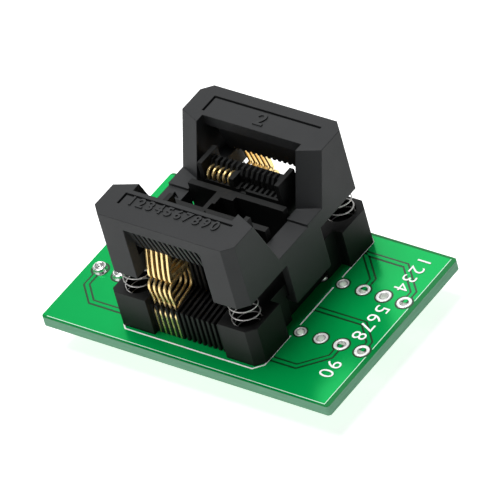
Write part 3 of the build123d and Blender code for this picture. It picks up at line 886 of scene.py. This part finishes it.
@dataclass
class Board:
    """Printed board: mask, tracks, silk outline of the socket, figures and plated holes."""

    grid: PinGrid = field(default_factory=PinGrid)
    figures: Figures = Figures(2.35, 0.02, -0.01, 1.16)
    figures_x: float = 15.0
    figures_lift: float = 0.03
    figure_groups: tuple[tuple[str, float], ...] = (("1234", 8.0), ("5678", 0.35), ("90", -6.9))
    silk_width: float = 0.15
    silk_height: float = 0.025
    silk_lines: tuple[tuple[Point, ...], ...] = (
        ((-9.3, -8.9), (-9.05, -9.4), (-8.56, -9.9), (7.45, -9.9), (8.38, -8.95), (8.38, -4.32)),
        ((8.38, -2.64), (8.38, 3.33)),
        ((8.38, 4.92), (8.38, 10.6), (7.45, 11.4)),
    )
    track_width: float = 0.36
    track_height: float = 0.02
    gap_width: float = 0.76
    gap_height: float = 0.006
    pour_inset: float = 0.6
    pour_line: float = 0.085
    pour_height: float = 0.012
    pour_break: float = 0.7

    def build(self, nodes: dict[str, bpy.types.Object], finishes: Finishes) -> None:
        """Dress the laminate and lay everything that is printed or plated on it.

        Args:
            nodes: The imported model's nodes.
            finishes: The finishes.
        """
        dress(nodes["circuit_board"], finishes.board)
        low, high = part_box("circuit_board")
        underside, top = low.z / MM, high.z / MM
        self.grid.pads(underside, top, finishes)
        self.grid.pins(underside, top, finishes)
        self.grid.solder(top, finishes)
        self.silk(top, finishes)
        self.tracks(top, finishes)
        self.pour_edge_painted_highlight(low / MM, high / MM, finishes)

    def silk(self, top: float, finishes: Finishes) -> None:
        """White outline of the socket, broken where pads pass, and figures beside the right-hand pads.

        Args:
            top: Height of the board's upper side.
            finishes: The finishes.
        """
        height = top + self.silk_height
        strips = [ribbon(line, self.silk_width, top, height) for line in self.silk_lines]
        make_piece("silk_outline", joined(strips), finishes.ink, Body.BASE)
        x, foot = self.figures_x, top + self.figures_lift
        groups = [(self.figures.surface(text, -90.0), y) for text, y in self.figure_groups]
        printed = [moved(surface, x, y, foot) for surface, y in groups]
        make_piece("silk_figures", joined(printed), finishes.ink, Body.BASE)

    def routes(self) -> list[list[Point]]:
        """The tracks' paths: each leaves a pad along Y, turns aside and ends under the socket.

        Returns:
            The corners of each path.
        """
        count = self.grid.row_length
        front, rear = ([self.grid.place(index, side) for index in range(count)] for side in SIDES)
        return [
            [front[0], (front[0][0], -5.9), (-14.35, -7.9), (-9.0, -7.9)],
            [rear[-1], (rear[-1][0], 5.85), (13.6, 8.87), (8.2, 8.87)],
            [rear[-3], (rear[-3][0], 5.9), (8.3, 9.1)],
            [front[-1], (front[-1][0], -2.1), (14.5, 0.02), (8.1, 0.02)],
            [front[-2], (front[-2][0], -5.35), (11.55, -7.88), (8.1, -7.88)],
        ]

    def tracks(self, top: float, finishes: Finishes) -> None:
        """Masked tracks, each a low ridge in the middle of its darker gap in the copper.

        Args:
            top: Height of the board's upper side.
            finishes: The finishes.
        """
        routes = self.routes()
        gaps = [ribbon(route, self.gap_width, top, top + self.gap_height) for route in routes]
        lines = [ribbon(route, self.track_width, top, top + self.track_height) for route in routes]
        make_piece("track_gaps", joined(gaps), finishes.gap, Body.BASE)
        make_piece("masked_tracks", joined(lines), finishes.board, Body.BASE)

    def pour_edge_painted_highlight(self, low: Vector, high: Vector, finishes: Finishes) -> None:
        """Low step where the copper ends in front and on the right, broken at the two outer pads; its pale
        colour is a painted highlight along that edge.

        Args:
            low: Lowest corner of the board.
            high: Highest corner of the board.
            finishes: The finishes.
        """
        inset = self.pour_inset
        left, right = low.x + inset, high.x - inset
        front, rear = low.y + inset / 2, high.y - inset / 2
        pads = [self.grid.place(self.grid.row_length - 1, side)[1] for side in SIDES]
        clear = self.grid.pad_radii[0] * self.pour_break
        lines = [
            [(right, pads[1] + clear), (right, rear)],
            [(right, pads[0] + clear), (right, pads[1] - clear)],
            [(left, front), (right, front), (right, pads[0] - clear)],
        ]
        strips = [ribbon(line, self.pour_line, high.z, high.z + self.pour_height) for line in lines]
        make_piece("copper_edge_painted_highlight", joined(strips), finishes.step, Body.BASE)


@dataclass
class CoilSpring:
    """Compression spring of round wire with a closed, flat turn at each end."""

    wire_radius: float = 0.072
    active_turns: float = 5.8
    end_turns: float = 0.8
    ramp_start: float = 0.6
    ramp_length: float = 0.8
    closed_gap: float = 1.025
    travel: float = 2.2
    steps_per_turn: int = 40
    wire_sides: int = 14

    def surface(self, low: Vector, high: Vector) -> Surface:
        """Tube round a helix whose pitch grows smoothly from the wire's width to its full value and back.

        The height is the running sum of the pitch, scaled to the spring's length. The wire's section lies
        in the plane of the radius and the vertical. The pitch's share of its full value is 3 t t - 2 t t t
        over the ramp.

        Args:
            low: Lowest corner of the spring's box, in metres.
            high: Highest corner, in metres.

        Returns:
            Vertices and faces.
        """
        centre = (low + high) / 2 / MM
        radius = (high.x - low.x) / 2 / MM - self.wire_radius
        bottom, top = low.z / MM + self.wire_radius, high.z / MM - self.wire_radius
        turns = self.active_turns + 2 * self.end_turns
        count = int(turns * self.steps_per_turn) + 1
        turn = np.linspace(0, turns, count)
        from_end = np.minimum(turn, turns - turn) - self.end_turns * self.ramp_start
        ramp = np.clip(from_end / (self.end_turns * self.ramp_length), 0, 1)
        closed_pitch = 2 * self.closed_gap * self.wire_radius
        share = ramp * ramp * (3 - 2 * ramp)
        mean_share = share.mean()
        full_pitch = ((top - bottom) / turns - closed_pitch * (1 - mean_share)) / mean_share
        pitch = closed_pitch + (full_pitch - closed_pitch) * share
        rises = (pitch[1:] + pitch[:-1]) / 2 * np.diff(turn)
        height = np.concatenate(([0.0], np.cumsum(rises)))
        height = bottom + height * (top - bottom) / height[-1]
        angle = -2 * math.pi * turn
        around = np.arange(self.wire_sides) * 2 * math.pi / self.wire_sides
        reach = radius + self.wire_radius * np.cos(around)[None, :]
        x = centre.x + reach * np.cos(angle)[:, None]
        y = centre.y + reach * np.sin(angle)[:, None]
        z = height[:, None] + self.wire_radius * np.sin(around)[None, :]
        vertices = np.stack((x, y, z), axis=-1).reshape(-1, 3)
        tube = grid_faces(count, self.wire_sides, False, True)
        return vertices, tube + end_caps(count, self.wire_sides)

    def build(self, corner: str, finishes: Finishes) -> None:
        """Make the spring of one corner.

        Args:
            corner: Name of the corner.
            finishes: The finishes.
        """
        node = f"{corner}_spring"
        low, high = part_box(node)
        coil = self.surface(low, high)
        piece = make_piece(f"{corner}_coil", coil, finishes.steel, Body.BASE, 60)
        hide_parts(node)
        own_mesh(piece)


@dataclass
class StampedContact:
    """Gold-plated contact cut from sheet: tail, foot, ring spring, lever and the arm with its finger.

    A strip's controls are its distance from the socket's middle, its height above the board and its width.
    """

    pitch: float = 0.65
    per_row: int = 14
    sheet: float = 0.26
    socket_x: float = -0.5
    socket_y: float = 1.0
    board_top: float = 4.4
    tail: tuple[Triple, ...] = (
        (9.7, -1.98, 0.16), (9.7, -1.6, 0.3), (9.7, -0.6, 0.3), (9.7, 0.9, 0.3),
        (9.7, 2.1, 0.32), (9.66, 2.8, 0.36), (9.5, 3.16, 0.22),
    )
    foot: tuple[Triple, ...] = ((9.62, 1.54, 2.0), (8.1, 1.54, 2.0), (6.6, 1.54, 2.0))
    neck: tuple[Triple, ...] = ((9.36, 2.3, 0.3), (9.34, 2.95, 0.3), (9.34, 3.52, 0.28))
    ring: tuple[Triple, ...] = (
        (9.34, 3.48, 0.27), (9.46, 4.36, 0.28), (9.59, 5.3, 0.3), (9.6, 6.0, 0.3), (9.38, 6.46, 0.28),
        (8.98, 6.66, 0.28), (8.4, 6.7, 0.32), (7.4, 6.74, 0.36), (6.62, 6.78, 0.34), (6.24, 6.5, 0.3),
        (6.2, 5.7, 0.3), (6.26, 4.9, 0.3), (6.56, 4.36, 0.3), (7.3, 4.08, 0.28), (8.4, 3.88, 0.26),
    )
    lever: tuple[Triple, ...] = (
        (9.08, 6.98, 0.34), (9.02, 7.28, 0.5), (8.9, 8.0, 0.54), (8.68, 9.0, 0.56),
        (8.38, 10.2, 0.54), (8.1, 11.1, 0.44), (7.98, 11.56, 0.36),
    )
    arm: tuple[Triple, ...] = (
        (8.96, 7.3, 0.4), (8.0, 7.26, 0.42), (7.0, 7.06, 0.52), (5.9, 7.1, 0.46), (5.0, 7.2, 0.46),
        (4.48, 7.62, 0.48), (4.36, 8.4, 0.48), (4.34, 9.6, 0.46), (4.22, 10.35, 0.42),
        (3.86, 10.92, 0.36), (3.3, 11.2, 0.32), (2.84, 11.08, 0.3), (2.62, 10.72, 0.28), (2.6, 10.3, 0.22),
    )

    def surface(self, index: int, side: int) -> Surface:
        """The contact's strips, set in its slot and turned towards its row's side.

        Args:
            index: Number of the contact's slot from the left.
            side: -1 for the front row and 1 for the rear.

        Returns:
            Vertices and faces in the model's frame.
        """
        loop = stamping(self.ring, self.sheet, closed=True)
        open_strips = (self.tail, self.foot, self.neck, self.lever, self.arm)
        strips = [stamping(strip, self.sheet) for strip in open_strips]
        vertices, faces = joined([loop] + strips)
        x = vertices[:, 0] + self.socket_x + (index - (self.per_row - 1) / 2) * self.pitch
        y = self.socket_y + side * vertices[:, 1]
        return np.stack((x, y, vertices[:, 2] + self.board_top), axis=1), faces

    def build(self, row: str, side: int, index: int, finishes: Finishes) -> None:
        """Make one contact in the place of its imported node.

        Args:
            row: Name of the row.
            side: -1 for the front row and 1 for the rear.
            index: Number of the contact's slot from the left.
            finishes: The finishes.
        """
        name = f"{row}_stamped_contact_{index + 1}"
        piece = make_piece(name, self.surface(index, side), finishes.gold, Body.BASE, 40)
        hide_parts(f"{row}_contact_{index + 1}")


@dataclass
class Socket:
    """The test socket: base, sprung cover, contacts and springs."""

    spring: CoilSpring = field(default_factory=CoilSpring)
    contact: StampedContact = field(default_factory=StampedContact)
    fitted: int = 5
    corners: tuple[str, ...] = ("front_left", "front_right", "rear_left", "rear_right")
    row_figures: Figures = Figures(1.72, 0.14, 0.035, 1.34)
    row_place: Point = (-0.6, -6.55)
    bar_figure: Figures = Figures(2.4, 0.14, 0.045)
    bar_place: Point = (-0.35, 8.55)

    def build(self, nodes: dict[str, bpy.types.Object], finishes: Finishes) -> None:
        """Dress the mouldings, and make the contacts, the springs and the moulded figures.

        Args:
            nodes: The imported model's nodes.
            finishes: The finishes.
        """
        dress(nodes["socket_base"], finishes.base)
        dress(nodes["cover"], finishes.cover)
        for row, side in ROWS:
            for index in range(self.fitted):
                self.contact.build(row, side, index, finishes)
        for corner in self.corners:
            self.spring.build(corner, finishes)
        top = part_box("cover")[1].z / MM
        front = moved(self.row_figures.surface("1234567890"), *self.row_place, top)
        rear = moved(self.bar_figure.surface("2"), *self.bar_place, top)
        make_piece("moulded_figures", joined([front, rear]), finishes.figure, Body.COVER)


@dataclass(frozen=True)
class SoftLight:
    """Square area light: its name, its place and its side in millimetres, and its power in watts."""

    name: str
    place: Triple
    size: float
    power: float

    def build(self, aim: Vector) -> None:
        """Set the light up so that it looks at a point.

        Args:
            aim: The point, in metres.
        """
        lamp = bpy.data.lights.new(self.name, "AREA")
        lamp.size = self.size * MM
        lamp.energy = self.power
        holder = bpy.data.objects.new(self.name, lamp)
        holder.location = Vector(self.place) * MM
        holder.rotation_euler = (aim - holder.location).to_track_quat("-Z", "Y").to_euler()
        link(holder)


@dataclass
class Studio:
    """Pale floor, soft lights and the photograph's camera."""

    aim: Triple = (0.377, 1.338, 8.528)
    azimuth: float = 45.736
    elevation: float = 39.750
    roll: float = 16.178
    distance: float = 830.42
    lens: float = 594.38
    sensor: float = 36.0
    nearest: float = 10.0
    farthest: float = 20000.0
    floor_half: float = 3000.0
    floor_height: float = -0.1
    sky_colour: Colour = (0.95, 0.97, 1.0)
    sky_strength: float = 0.15
    lights: tuple[SoftLight, ...] = (
        SoftLight("key_light", (-60.0, 0.0, 330.0), 200.0, 1.2),
        SoftLight("front_panel", (-60.0, -320.0, 110.0), 300.0, 0.2),
        SoftLight("back_light", (-70.0, 95.0, 105.0), 60.0, 0.014),
        SoftLight("tent_panel", (-275.0, 268.0, 320.0), 480.0, 0.36),
    )

    def build(self) -> None:
        """Set the floor, the lights, the world and the camera."""
        self.floor()
        for light in self.lights:
            light.build(Vector(self.aim) * MM)
        world = bpy.data.worlds.new("studio")
        world.use_nodes = True
        background = next(node for node in world.node_tree.nodes if node.type == "BACKGROUND")
        background.inputs["Color"].default_value = (*self.sky_colour, 1.0)
        background.inputs["Strength"].default_value = self.sky_strength
        bpy.context.scene.world = world
        bpy.context.scene.view_settings.view_transform = "Standard"
        self.camera()

    def floor(self) -> None:
        """Level sheet far wider than the adapter, just under the pins."""
        mesh = bpy.data.meshes.new("studio_floor")
        half, height = self.floor_half * MM, self.floor_height * MM
        corners = ((-half, -half), (half, -half), (half, half), (-half, half))
        mesh.from_pydata([(x, y, height) for x, y in corners], [], [(0, 1, 2, 3)])
        mesh.materials.append(PrintedInk("floor_paper", (0.6, 0.6, 0.6), 0.9, 1.35).material())
        floor = bpy.data.objects.new("studio_floor", mesh)
        link(floor)

    def camera(self) -> None:
        """Camera on a sphere round its aim, rolled about its own axis as the photograph was."""
        azimuth, elevation = math.radians(self.azimuth), math.radians(self.elevation)
        level = math.cos(elevation)
        away = Vector((math.sin(azimuth) * level, -math.cos(azimuth) * level, math.sin(elevation)))
        lens = bpy.data.cameras.new("portrait_camera")
        lens.lens = self.lens
        lens.sensor_width = self.sensor
        lens.clip_start = self.nearest * MM
        lens.clip_end = self.farthest * MM
        camera = bpy.data.objects.new("portrait_camera", lens)
        roll = Matrix.Rotation(math.radians(-self.roll), 3, "Z")
        turn = away.to_track_quat("Z", "Y").to_matrix() @ roll
        eye = (Vector(self.aim) + away * self.distance) * MM
        camera.matrix_world = Matrix.Translation(eye) @ turn.to_4x4()
        link(camera)
        bpy.context.scene.camera = camera


def dress(node: bpy.types.Object, material: bpy.types.Material) -> None:
    """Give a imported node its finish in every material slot.

    Args:
        node: The node's object.
        material: Its finish.
    """
    for holder in node.material_slots:
        holder.material = material


def main() -> None:
    """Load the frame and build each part."""
    logging.basicConfig(level=logging.INFO, format="%(message)s")
    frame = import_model()
    finishes = Finishes()
    Board().build(frame["nodes"], finishes)
    Socket().build(frame["nodes"], finishes)
    Studio().build()


if __name__ == "__main__":
    main()
